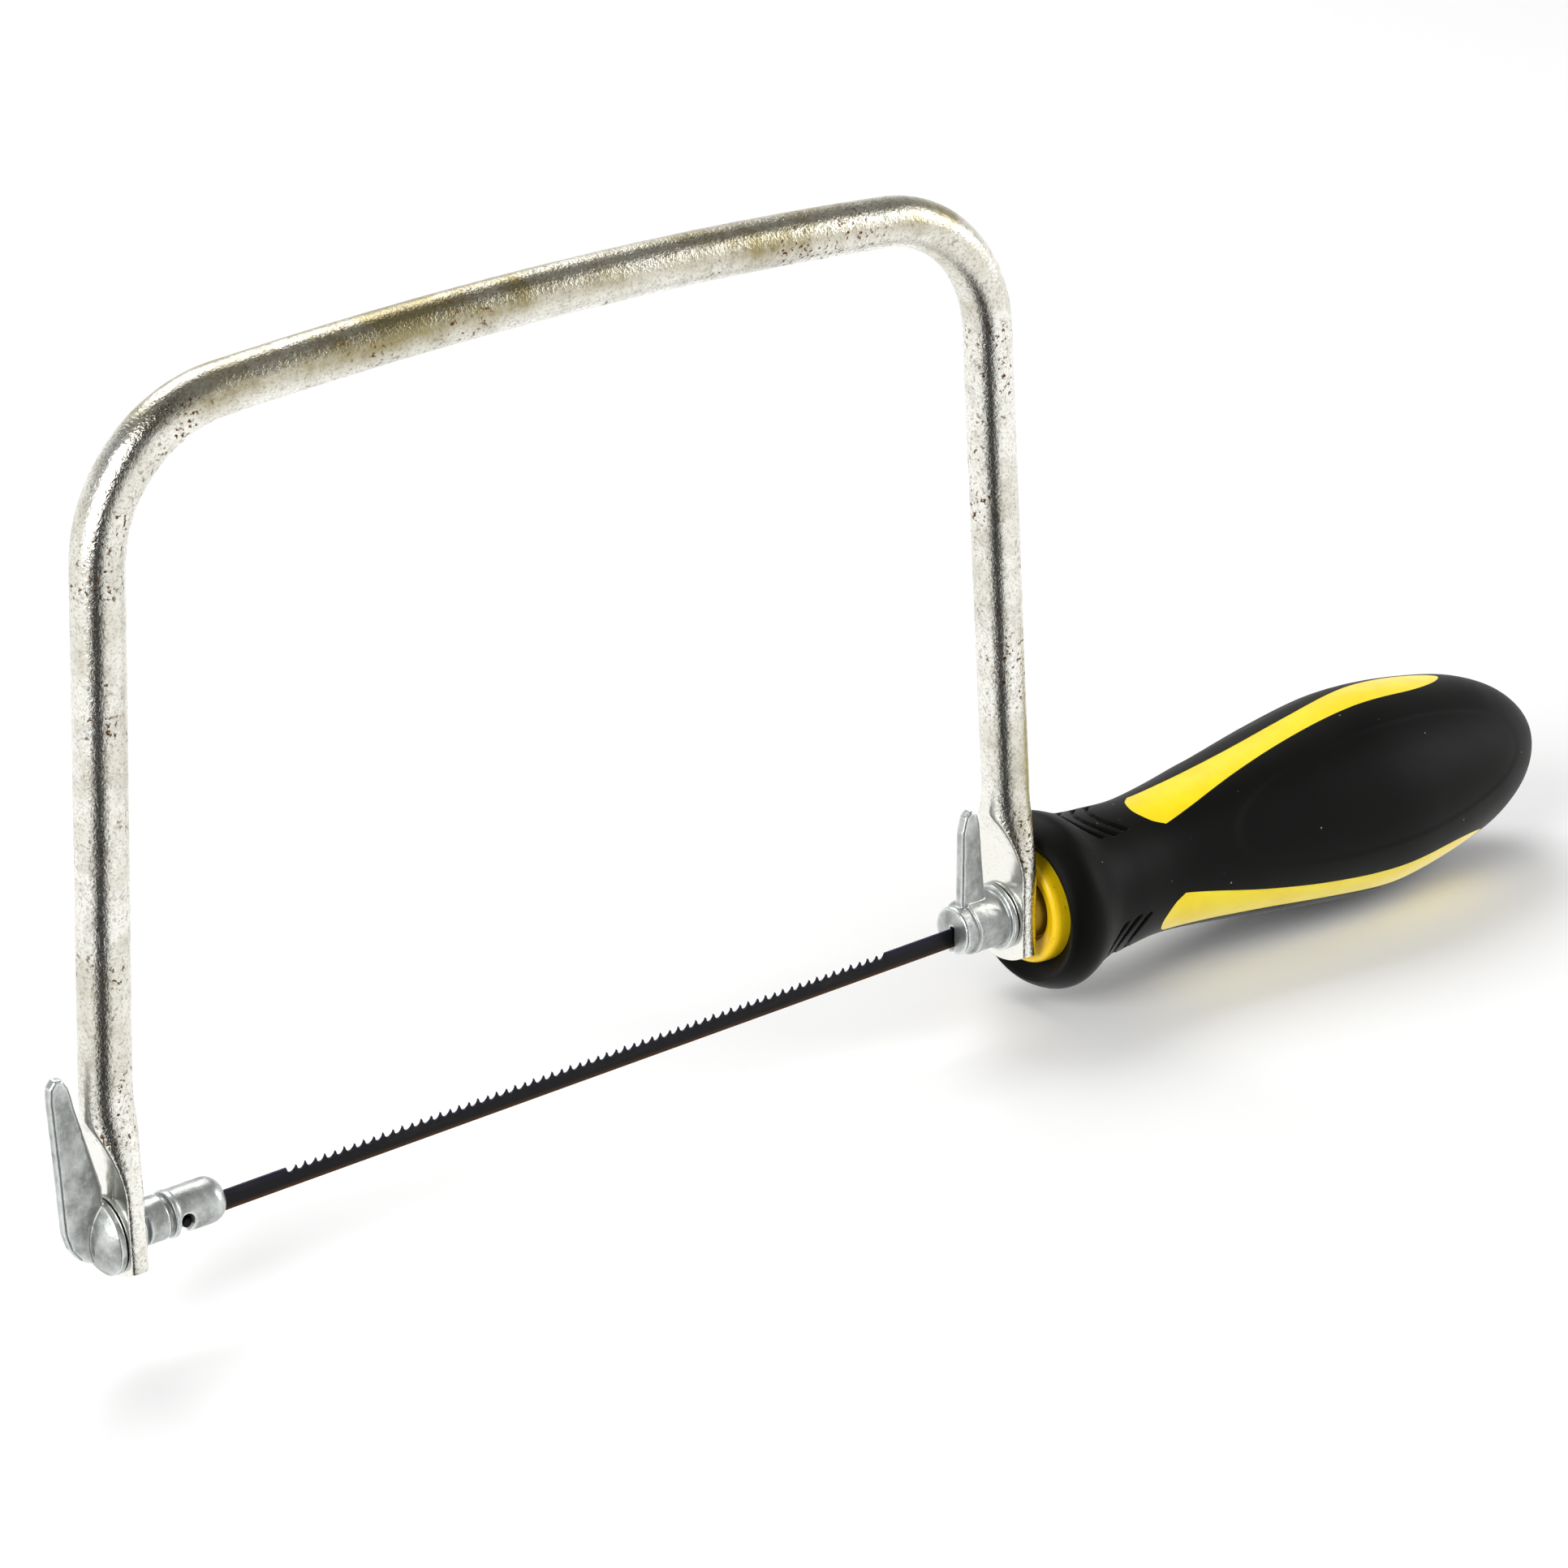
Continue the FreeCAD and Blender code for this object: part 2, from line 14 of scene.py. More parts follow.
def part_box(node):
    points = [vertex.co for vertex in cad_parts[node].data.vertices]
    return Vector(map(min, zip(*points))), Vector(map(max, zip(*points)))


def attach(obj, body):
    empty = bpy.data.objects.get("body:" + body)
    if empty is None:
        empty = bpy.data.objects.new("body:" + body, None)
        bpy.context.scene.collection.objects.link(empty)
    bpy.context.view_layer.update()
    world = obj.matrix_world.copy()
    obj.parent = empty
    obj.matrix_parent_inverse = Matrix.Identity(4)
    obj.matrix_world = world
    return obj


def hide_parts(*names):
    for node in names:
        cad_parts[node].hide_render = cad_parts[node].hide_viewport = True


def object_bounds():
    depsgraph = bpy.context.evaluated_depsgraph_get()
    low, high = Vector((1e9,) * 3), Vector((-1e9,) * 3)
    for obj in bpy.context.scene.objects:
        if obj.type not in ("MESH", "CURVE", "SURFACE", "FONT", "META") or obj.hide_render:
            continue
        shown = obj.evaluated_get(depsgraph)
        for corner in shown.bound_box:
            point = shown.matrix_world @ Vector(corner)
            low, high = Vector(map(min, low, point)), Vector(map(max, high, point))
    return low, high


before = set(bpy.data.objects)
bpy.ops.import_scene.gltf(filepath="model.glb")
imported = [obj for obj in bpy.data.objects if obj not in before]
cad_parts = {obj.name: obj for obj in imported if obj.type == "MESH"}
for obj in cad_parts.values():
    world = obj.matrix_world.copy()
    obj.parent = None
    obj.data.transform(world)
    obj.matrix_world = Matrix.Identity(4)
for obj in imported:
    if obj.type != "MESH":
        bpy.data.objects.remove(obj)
cad_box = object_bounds()

MM = 0.001

# ---- bow, mm -------------------------------------------------------------------
MIDDLE = 78.9                   # plane of symmetry
TAB_CENTRE = 90.1               # tab mid-plane from the middle
BAR_R = 4.2
BOW_TOP = 133.7
BOW_TOP_R = 830.0
BOW_CORNER_R = 24.0
ARM_LEAN = math.radians(3.4)
TAB_HALF_THICK = 1.5
TAB_HALF_WIDTH = 7.3
TAB_BULGE = 5.0                 # half depth of the oval that the flats are pressed into
FRONT_TAB_BOTTOM = 6.4
REAR_TAB_BOTTOM = 8.0
TAB_END_R = 13.0
FLARE_LOW = 8.0
FLARE_HIGH = 25.0
SCOOP_R = 28.0
SCOOP_Z = 8.0
PIVOT_R = 2.56
BAR_WAVE = 0.02                 # waviness of the drawn bar
BAR_INSET = 0.035               # how far the bar's surface lies inside the CAD surface

# ---- castings, mm --------------------------------------------------------------
CAST_VOXEL = 0.15
CAST_ROUNDS = 3                 # smoothing passes
CAST_INSET = 0.03
EDGE_ROUNDS = 6                 # smoothing passes of the surface that edges stand out from
EDGE_FULL = 0.045               # height above it at which an edge gets the full painted highlight

# ---- blade, mm -----------------------------------------------------------------
PIN_SPAN = 162.0
BLADE_DROP = 1.2
BLADE_WIDTH = 3.5
BLADE_THICK = 0.5
BLADE_OVERHANG = 1.2
TOOTH_PITCH = 1.85
TOOTH_DEPTH = 1.0
TOOTH_COUNT = 66
TOOTH_SET = 0.1                 # sideways bend of every other tooth
PIN_R = 0.8
PIN_LENGTH = 5.4

# ---- handle, mm ----------------------------------------------------------------
NOSE_X = 172.3
NOSE_R = 10.4
NOSE_HOLE_R = 6.3
LIP_X = 175.4                   # inner edge of the rubber's hollow front face
BORE_X = 175.2                  # back of the insert's head
CORE_JOIN = 185.0
GRIP_SKIN = 2.4
PANEL_ANGLE = 26.0              # middle of the rubber panel, degrees up from -Y
WINDOWS = ((60.0, 3.1), (180.0, 0.0), (-60.0, -3.1))    # (turn from that middle, lean) in degrees
WINDOW_PIVOT = 224.0
PAD_SUNK = 0.06                 # window pads below the rubber
GROOVES = ((182.0, 5.7), (185.3, 5.7), (188.7, 5.2))    # (x at the middle, half reach) of each
GROOVE_BOW = 0.12
GROOVE_DEPTH = 0.6
GROOVE_REACH = 0.62
OVAL_CENTRE = 248.6             # faint oval outline on each panel
OVAL_HALF_LENGTH = 35.4
OVAL_HALF_WIDTH = 11.3
OVAL_STEP = 0.14
PANELS = (0.0, 120.0, -120.0)   # turns of the three rubber panels, degrees
THREAD_PITCH = 0.8
THREAD_DEPTH = 0.4
STUD_R = 2.5
INSERT_R = 4.0
INSERT_HEAD_R = 5.8
INSERT_LENGTH = 18.0

# ---- camera, m and degrees -------------------------------------------------------
CAMERA_AIM = Vector((0.1040, -0.0210, 0.0503))
CAMERA_DISTANCE = 0.78
CAMERA_AZIMUTH = math.radians(38.04)     # from +Y towards +X
CAMERA_FALL = math.radians(24.0)
CAMERA_ROLL = math.radians(-0.55)
CAMERA_LENS = 111.8


# ---- mesh helpers ----------------------------------------------------------------
def smoothstep(t):
    t = min(max(t, 0.0), 1.0)
    return t * t * (3 - 2 * t)


def make_object(name, points, faces, sharp=30.0):
    """Mesh object from points in mm, smooth except at edges sharper than the given angle."""
    mesh = bpy.data.meshes.new(name)
    mesh.from_pydata([Vector(p) * MM for p in points], [], faces)
    obj = bpy.data.objects.new(name, mesh)
    bpy.context.scene.collection.objects.link(obj)
    return finish_mesh(obj, sharp)


def finish_mesh(obj, sharp):
    """Welds, turns the faces outwards and sets smooth shading."""
    bm = bmesh.new()
    bm.from_mesh(obj.data)
    bmesh.ops.remove_doubles(bm, verts=bm.verts, dist=0.001 * MM)
    bmesh.ops.dissolve_degenerate(bm, edges=bm.edges, dist=0.0005 * MM)
    bmesh.ops.recalc_face_normals(bm, faces=bm.faces)
    bm.to_mesh(obj.data)
    bm.free()
    obj.data.polygons.foreach_set("use_smooth", [True] * len(obj.data.polygons))
    obj.data.set_sharp_from_angle(angle=math.radians(sharp))
    return obj


def ring_faces(rings, around, closed_loop=False):
    """Quads between rings of equal size, with end caps or joined end to start."""
    faces = []
    last = rings if closed_loop else rings - 1
    for i in range(last):
        a = i * around
        b = ((i + 1) % rings) * around
        for j in range(around):
            k = (j + 1) % around
            faces.append((a + j, a + k, b + k, b + j))
    if not closed_loop:
        faces.append(tuple(range(around)))
        faces.append(tuple(range((rings - 1) * around, rings * around)))
    return faces


def catmull(points, per_span):
    """Smooth curve through points of any dimension, evenly subdivided between them."""
    pts = [np.array(p, float) for p in points]
    out = []
    for i in range(len(pts) - 1):
        b, c = pts[i], pts[i + 1]
        a = pts[i - 1] if i > 0 else 2 * b - c
        d = pts[i + 2] if i + 2 < len(pts) else 2 * c - b
        for s in range(per_span):
            t = s / per_span
            out.append(0.5 * (2 * b + (c - a) * t + (2 * a - 5 * b + 4 * c - d) * t ** 2
                              + (3 * b - a - 3 * c + d) * t ** 3))
    out.append(pts[-1])
    return out


def turned(name, profile, around, closed_loop=False, offset=None, sharp=30.0):
    """Solid turned about X from (x, radius) points; offset(x, angle, radius) moves the surface in or out."""
    points = []
    for x, r in profile:
        for j in range(around):
            angle = 2 * math.pi * j / around
            reach = r + (offset(x, angle, r) if offset else 0.0)
            points.append((x, -reach * math.cos(angle), reach * math.sin(angle)))
    return make_object(name, points, ring_faces(len(profile), around, closed_loop), sharp)


def rounded_steps(profile, radius, per_corner=4):
    """Replaces every inner corner of an (x, radius) outline by a small arc."""
    pts = [np.array(p, float) for p in profile]
    out = [pts[0]]
    for a, b, c in zip(pts, pts[1:], pts[2:]):
        reach = min(radius, 0.45 * np.linalg.norm(b - a), 0.45 * np.linalg.norm(c - b))
        start = b + (a - b) / np.linalg.norm(a - b) * reach
        stop = b + (c - b) / np.linalg.norm(c - b) * reach
        for s in range(per_corner + 1):
            t = s / per_corner
            out.append((1 - t) ** 2 * start + 2 * t * (1 - t) * b + t ** 2 * stop)
    out.append(pts[-1])
    return out


def boolean(obj, cutter, operation):
    """Applies one exact boolean and throws the cutter away."""
    modifier = obj.modifiers.new("cut", "BOOLEAN")
    modifier.object = cutter
    modifier.operation = operation
    modifier.solver = "EXACT"
    apply_modifiers(obj)
    bpy.data.objects.remove(cutter)
    return obj


def apply_modifiers(obj):
    bpy.context.view_layer.update()
    graph = bpy.context.evaluated_depsgraph_get()
    mesh = bpy.data.meshes.new_from_object(obj.evaluated_get(graph))
    obj.modifiers.clear()
    obj.data = mesh


def join(name, parts):
    """One object from several meshes that share a body and a material."""
    bm = bmesh.new()
    for part in parts:
        bm.from_mesh(part.data)
        bpy.data.objects.remove(part)
    mesh = bpy.data.meshes.new(name)
    bm.to_mesh(mesh)
    bm.free()
    obj = bpy.data.objects.new(name, mesh)
    bpy.context.scene.collection.objects.link(obj)
    return obj


def place(obj, node, body, material):
    """Gives a piece its finish and lets it stand for its CAD node."""
    obj.data.materials.clear()
    obj.data.materials.append(material)
    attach(obj, body)
    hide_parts(node)
    return obj


# ---- material helpers --------------------------------------------------------------
def srgb(red, green, blue):
    """Linear RGBA from display values between 0 and 1."""
    def linear(v):
        return v / 12.92 if v <= 0.04045 else ((v + 0.055) / 1.055) ** 2.4
    return (linear(red), linear(green), linear(blue), 1.0)


class Shader:
    """A Principled material and short names for the nodes that feed it."""

    def __init__(self, name, **sockets):
        self.material = bpy.data.materials.new(name)
        self.material.use_nodes = True
        self.tree = self.material.node_tree
        self.bsdf = self.tree.nodes["Principled BSDF"]
        source = self.tree.nodes.new("ShaderNodeTexCoord")
        self.coords = source.outputs["Object"]
        self.normal = source.outputs["Normal"]
        for key, value in sockets.items():
            self.bsdf.inputs[key.replace("_", " ")].default_value = value

    def link(self, output, key):
        self.tree.links.new(output, self.bsdf.inputs[key])

    def node(self, kind, inputs, **settings):
        made = self.tree.nodes.new(kind)
        for key, value in settings.items():
            setattr(made, key, value)
        for key, value in inputs.items():
            if isinstance(value, bpy.types.NodeSocket):
                self.tree.links.new(value, made.inputs[key])
            else:
                made.inputs[key].default_value = value
        return made

    def noise(self, scale, detail=3.0, rough=0.55, stretch=None):
        vector = self.coords
        if stretch:
            vector = self.node("ShaderNodeMapping", {"Vector": vector, "Scale": stretch}).outputs[0]
        return self.node("ShaderNodeTexNoise", {"Vector": vector, "Scale": scale, "Detail": detail,
                                                "Roughness": rough}).outputs[0]

    def spots(self, scale):
        """Distance to the nearest of randomly scattered points."""
        return self.node("ShaderNodeTexVoronoi", {"Vector": self.coords, "Scale": scale}).outputs["Distance"]

    def attribute(self, name):
        return self.node("ShaderNodeAttribute", {}, attribute_name=name).outputs["Fac"]

    def fit(self, value, low, high, to_low=0.0, to_high=1.0):
        """Maps low..high to to_low..to_high and clamps."""
        return self.node("ShaderNodeMapRange", {0: value, 1: low, 2: high, 3: to_low, 4: to_high}).outputs[0]

    def times(self, a, b):
        return self.node("ShaderNodeMath", {0: a, 1: b}, operation="MULTIPLY").outputs[0]

    def plus(self, a, b):
        return self.node("ShaderNodeMath", {0: a, 1: b}, operation="ADD").outputs[0]

    def blend(self, factor, a, b):
        """Colour a where factor is 0 and colour b where it is 1."""
        made = self.node("ShaderNodeMix", {0: factor}, data_type="RGBA")
        for socket, value in ((made.inputs[6], a), (made.inputs[7], b)):
            if isinstance(value, bpy.types.NodeSocket):
                self.tree.links.new(value, socket)
            else:
                socket.default_value = value
        return made.outputs[2]

    def bump(self, height, strength, depth, under=None):
        inputs = {"Height": height, "Strength": strength, "Distance": depth}
        if under is not None:
            inputs["Normal"] = under
        return self.node("ShaderNodeBump", inputs).outputs[0]

    def height(self, axis):
        """One object coordinate, in metres."""
        return self.node("ShaderNodeSeparateXYZ", {0: self.coords}).outputs[axis]

    def facing(self, axis):
        """How squarely the surface faces along one axis, either way."""
        part = self.node("ShaderNodeSeparateXYZ", {0: self.normal}).outputs[axis]
        return self.node("ShaderNodeMath", {0: part}, operation="ABSOLUTE").outputs[0]


# ---- materials ---------------------------------------------------------------------
def plated_bar():
    """Nickel-plated bar: orange-peel grain, olive tarnish on the arch, rust pits and clean tab flats."""
    s = Shader("plated_bar", Metallic=1.0)
    grain = s.noise(1900.0, 3.0, 0.65)
    clouds = s.noise(230.0, 4.0, 0.65)
    patches = s.noise(48.0, 5.0, 0.65)
    off_middle = s.plus(s.height(0), -MIDDLE * MM)
    arch = s.times(s.times(off_middle, off_middle), 0.5 / (BOW_TOP_R * MM))
    above = s.plus(s.plus(s.height(2), arch), -BOW_TOP * MM)
    on_top = s.fit(above, -2.4 * MM, 0.4 * MM)
    flat = s.times(s.fit(s.facing(0), 0.90, 0.97), s.fit(s.height(2), 24.0 * MM, 20.0 * MM))
    rough_skin = s.plus(1.0, s.times(flat, -0.88))
    top_tarnish = s.times(on_top, s.fit(patches, 0.30, 0.60, 0.40, 0.75))
    tarnish = s.plus(s.fit(patches, 0.46, 0.68, 0.0, 0.5), top_tarnish)
    specks = s.fit(s.noise(1300.0, 2.0, 0.5), 0.58, 0.66)
    rust = s.times(s.times(specks, rough_skin), s.fit(s.noise(70.0, 4.0, 0.65), 0.50, 0.60))
    colour = s.blend(s.times(tarnish, rough_skin), srgb(0.93, 0.925, 0.90), srgb(0.60, 0.56, 0.42))
    colour = s.blend(s.times(s.fit(clouds, 0.50, 0.74, 0.0, 0.4), rough_skin), colour, srgb(0.52, 0.49, 0.41))
    colour = s.blend(s.times(s.fit(grain, 0.50, 0.70, 0.0, 0.55), rough_skin), colour, srgb(0.48, 0.45, 0.36))
    colour = s.blend(rust, colour, srgb(0.36, 0.24, 0.10))
    s.link(colour, "Base Color")
    s.link(s.plus(s.fit(patches, 0.35, 0.7, 0.10, 0.22), s.times(rust, 0.3)), "Roughness")
    s.link(s.bump(s.times(grain, rough_skin), 0.9, 0.00012), "Normal")
    return s.material


def die_cast():
    """Dull zinc casting with mottling, fine grain, scratches, and a painted highlight on its raised edges,
    which are also less rough.
    """
    s = Shader("die_cast", Metallic=0.9)
    mottle = s.noise(260.0, 5.0, 0.65)
    grain = s.noise(3200.0, 2.0, 0.6)
    scratches = s.fit(s.noise(420.0, 2.0, 0.5, (9.0, 1.0, 1.4)), 0.66, 0.72)
    # mask of the raised edges: painted highlight in the colour, lower roughness there
    edge_highlight = s.attribute("edge")
    colour = s.blend(s.fit(mottle, 0.35, 0.68), srgb(0.56, 0.57, 0.56), srgb(0.79, 0.80, 0.795))
    colour = s.blend(s.times(scratches, 0.5), colour, srgb(0.78, 0.80, 0.79))
    # painted highlight: raised edges lighter, standing in for the light they catch
    colour = s.blend(s.fit(edge_highlight, 0.15, 0.9), colour, srgb(0.84, 0.86, 0.86))
    s.link(colour, "Base Color")
    s.link(s.plus(s.fit(mottle, 0.3, 0.7, 0.47, 0.34), s.times(edge_highlight, -0.14)), "Roughness")
    s.link(s.bump(s.plus(s.times(grain, 0.5), mottle), 0.5, 0.00008), "Normal")
    return s.material


def steel(name, colour, rough):
    """Turned or rolled plain steel with fine lines round it."""
    s = Shader(name, Metallic=1.0)
    lines = s.noise(900.0, 3.0, 0.6, (6.0, 1.0, 1.0))
    cloud = s.noise(300.0, 4.0, 0.6)
    darker = tuple(0.72 * c for c in colour[:3]) + (1.0,)
    s.link(s.blend(s.fit(cloud, 0.35, 0.7), colour, darker), "Base Color")
    s.link(s.fit(lines, 0.3, 0.7, rough, rough + 0.16), "Roughness")
    s.link(s.bump(lines, 0.3, 0.00003), "Normal")
    return s.material


def blade_steel():
    """Blued strip: black with a violet bloom along the teeth and a brown one along the back."""
    s = Shader("blade_steel", Metallic=0.85)
    z = s.height(2)
    haze = s.noise(500.0, 4.0, 0.6, (0.25, 1.0, 1.0))
    back = s.fit(z, -BLADE_DROP * MM - 0.9 * MM, -BLADE_DROP * MM - 1.75 * MM)
    teeth = s.fit(z, -BLADE_DROP * MM + 0.5 * MM, -BLADE_DROP * MM + 1.7 * MM)
    colour = s.blend(s.times(back, 0.8), srgb(0.10, 0.10, 0.11), srgb(0.33, 0.22, 0.10))
    colour = s.blend(s.times(teeth, 0.7), colour, srgb(0.13, 0.13, 0.22))
    colour = s.blend(s.fit(haze, 0.55, 0.75, 0.0, 0.5), colour, srgb(0.19, 0.18, 0.16))
    s.link(colour, "Base Color")
    s.link(s.fit(haze, 0.3, 0.7, 0.34, 0.52), "Roughness")
    s.link(s.bump(haze, 0.25, 0.00004), "Normal")
    return s.material


def black_rubber():
    """Soft satin overmould with a fine moulded grain and a little dust."""
    s = Shader("black_rubber", Specular_IOR_Level=0.10)
    cloud = s.noise(70.0, 4.0, 0.6)
    grain = s.noise(4200.0, 2.0, 0.6)
    dust = s.times(s.fit(s.spots(420.0), 0.085, 0.05), s.fit(s.noise(160.0, 2.0), 0.56, 0.62))
    colour = s.blend(s.fit(cloud, 0.3, 0.7), srgb(0.020, 0.020, 0.017), srgb(0.034, 0.034, 0.029))
    colour = s.blend(dust, colour, srgb(0.62, 0.60, 0.55))
    s.link(colour, "Base Color")
    s.link(s.fit(cloud, 0.3, 0.7, 0.46, 0.56), "Roughness")
    s.link(s.bump(grain, 0.22, 0.00004), "Normal")
    return s.material


def yellow_plastic():
    """Glossy moulding: faint mottling, and a painted shade on the front of the nose by the tab, with dark
    scuffs there.
    """
    s = Shader("yellow_plastic", Specular_IOR_Level=0.32, Coat_Weight=0.1, Coat_Roughness=0.12)
    s.bsdf.inputs["Subsurface Weight"].default_value = 0.08
    s.bsdf.inputs["Subsurface Radius"].default_value = (0.002, 0.001, 0.0003)
    cloud = s.noise(120.0, 4.0, 0.6)
    scuffs = s.fit(s.noise(520.0, 4.0, 0.7, (1.0, 2.2, 0.8)), 0.63, 0.72)
    # front of the nose by the tab: mask of the painted shade and of the scuffs
    nose = s.fit(s.height(0), 0.1785, 0.1735)
    colour = s.blend(s.fit(cloud, 0.3, 0.7), srgb(1.0, 0.92, 0.12), srgb(0.98, 0.85, 0.02))
    # painted shade: the nose front darker orange where the tab shades it
    colour = s.blend(s.times(nose, 0.55), colour, srgb(0.93, 0.70, 0.0))
    colour = s.blend(s.times(scuffs, s.times(nose, 0.75)), colour, srgb(0.30, 0.22, 0.06))
    s.link(colour, "Base Color")
    s.link(s.fit(cloud, 0.3, 0.7, 0.27, 0.38), "Roughness")
    s.link(s.bump(s.noise(900.0, 3.0, 0.6), 0.12, 0.00005), "Normal")
    return s.material


def pale_floor():
    s = Shader("pale_floor", Roughness=0.75)
    s.link(s.blend(s.fit(s.noise(3.0, 2.0), 0.3, 0.7), srgb(0.97, 0.97, 0.97), srgb(0.98, 0.98, 0.98)),
           "Base Color")
    return s.material


# ---- bow ---------------------------------------------------------------------------
AROUND_BAR = 72


def soft_limit(value, limit, softness=0.12):
    """The smaller of two positive lengths, with a small rounding where they meet."""
    high = max(value, limit)
    low = min(value, limit)
    return low - softness * math.log(1.0 + math.exp(-(high - low) / softness))


def bar_ring(centre, tangent):
    """Circle of the round bar, square to the path; its seam faces +Y."""
    side = Vector((0, 1, 0))
    normal = side.cross(tangent).normalized()
    ring = []
    for j in range(AROUND_BAR):
        t = 2 * math.pi * j / AROUND_BAR
        ring.append(centre + BAR_R * (math.cos(t) * side + math.sin(t) * normal))
    return ring


def tab_ring(z, width_limit):
    """Section of the front tab: an oval pressed flat on both sides."""
    x = MIDDLE - TAB_CENTRE
    round_part = smoothstep((z - FLARE_LOW) / (FLARE_HIGH - FLARE_LOW))
    half_y = min(TAB_HALF_WIDTH + (BAR_R - TAB_HALF_WIDTH) * round_part, width_limit)
    half_x = TAB_BULGE + (BAR_R - TAB_BULGE) * round_part
    rise = max(z - SCOOP_Z, 0.0)
    limit = TAB_HALF_THICK + SCOOP_R - math.sqrt(SCOOP_R ** 2 - min(rise, SCOOP_R - 1) ** 2)
    lean = ARM_LEAN * round_part
    ring = []
    for j in range(AROUND_BAR):
        t = 2 * math.pi * j / AROUND_BAR
        across = half_x * math.sin(t)
        depth = math.copysign(soft_limit(abs(across), limit), across) if abs(across) > 0.4 else across
        ring.append(Vector((x + depth * math.cos(lean), half_y * math.cos(t), z - depth * math.sin(lean))))
    return ring


def half_bow(bottom):
    """Rings from the foot of the front tab to the middle of the top."""
    rings = []
    foot_z = TAB_END_R - bottom
    steps = 26
    widest = math.asin(TAB_HALF_WIDTH / TAB_END_R)
    for i in range(steps):
        a = widest * max(i, 0.15) / steps
        rings.append(tab_ring(foot_z - TAB_END_R * math.cos(a), TAB_END_R * math.sin(a)))
    start = foot_z - TAB_END_R * math.cos(widest)
    levels = 84
    for i in range(levels):
        rings.append(tab_ring(start + (FLARE_HIGH - start) * i / levels, TAB_HALF_WIDTH))
    for centre, tangent in bar_line():
        rings.append(bar_ring(centre, tangent))
    return rings


def bar_line():
    """Points and directions of the bar's centre line: arm, corner and half of the arched top."""
    up = Vector((math.sin(ARM_LEAN), 0, math.cos(ARM_LEAN)))
    side = Vector((math.cos(ARM_LEAN), 0, -math.sin(ARM_LEAN)))
    foot = Vector((MIDDLE - TAB_CENTRE, 0, FLARE_HIGH))
    top_centre = Vector((MIDDLE, 0, BOW_TOP - BOW_TOP_R))
    inner = foot + side * BOW_CORNER_R
    away = inner - top_centre
    along = away.dot(up)
    rise = -along + math.sqrt(along ** 2 - away.length_squared + (BOW_TOP_R - BOW_CORNER_R) ** 2)
    corner = inner + up * rise
    line = []
    arm_steps = int(rise / 0.9)
    for i in range(arm_steps):
        line.append((foot + up * (rise * i / arm_steps), up))
    first = math.atan2(-side.z, -side.x)
    last = math.atan2(corner.z - top_centre.z, corner.x - top_centre.x)
    turn_steps = 44
    for i in range(turn_steps):
        a = first + (last - first) * i / turn_steps
        out = Vector((math.cos(a), 0, math.sin(a)))
        line.append((corner + out * BOW_CORNER_R, Vector((out.z, 0, -out.x))))
    top_steps = 64
    for i in range(top_steps + 1):
        a = last + (math.pi / 2 - last) * i / top_steps
        out = Vector((math.cos(a), 0, math.sin(a)))
        line.append((top_centre + out * BOW_TOP_R, Vector((out.z, 0, -out.x))))
    return line


def hammered(point):
    """Slight waviness of the drawn bar, in mm, a little inside the CAD surface."""
    return BAR_WAVE * noise.noise(point * 0.55) - BAR_INSET


def push_out(mesh, distance):
    """Moves every point along its normal by distance(point), both in mm."""
    points = [v.co.copy() for v in mesh.vertices]
    normals = [n.vector.copy() for n in mesh.vertex_normals]
    moved = [p + n * distance(p / MM) * MM for p, n in zip(points, normals)]
    mesh.vertices.foreach_set("co", [c for p in moved for c in p])
    mesh.update()


def bow(material):
    front = half_bow(FRONT_TAB_BOTTOM)
    mirrored = reversed(half_bow(REAR_TAB_BOTTOM)[:-1])
    rear = [[Vector((2 * MIDDLE - p.x, p.y, p.z)) for p in ring] for ring in mirrored]
    rings = front + rear
    points = [p for ring in rings for p in ring]
    obj = make_object("bow", points, ring_faces(len(rings), AROUND_BAR), 50.0)
    push_out(obj.data, hammered)
    for sign in (-1, 1):
        x = MIDDLE + sign * TAB_CENTRE
        hole = turned("hole", [(x - 6, PIVOT_R), (x + 6, PIVOT_R)], 48)
        boolean(obj, hole, "DIFFERENCE")
    finish_mesh(obj, 50.0)
    return place(obj, "bow_frame", "frame", material)


# ---- castings ------------------------------------------------------------------------
def lumpy(point):
    """Unevenness of a small casting, in mm, a little inside the CAD surface."""
    return 0.035 * noise.noise(point * 0.8) + 0.012 * noise.noise(point * 2.6) - CAST_INSET


def cast_piece(name, node, body, material):
    """Casting with softened edges: the CAD solid remeshed finely, smoothed and slightly uneven."""
    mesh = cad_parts[node].data.copy()
    obj = bpy.data.objects.new(name, mesh)
    bpy.context.scene.collection.objects.link(obj)
    remesh = obj.modifiers.new("skin", "REMESH")
    remesh.mode = "VOXEL"
    remesh.voxel_size = CAST_VOXEL * MM
    remesh.adaptivity = 0.0
    smooth = obj.modifiers.new("soften", "SMOOTH")
    smooth.factor = 0.5
    smooth.iterations = CAST_ROUNDS
    apply_modifiers(obj)
    push_out(obj.data, lumpy)
    obj.data.polygons.foreach_set("use_smooth", [True] * len(obj.data.polygons))
    mark_edges(obj)
    return place(obj, node, body, material)


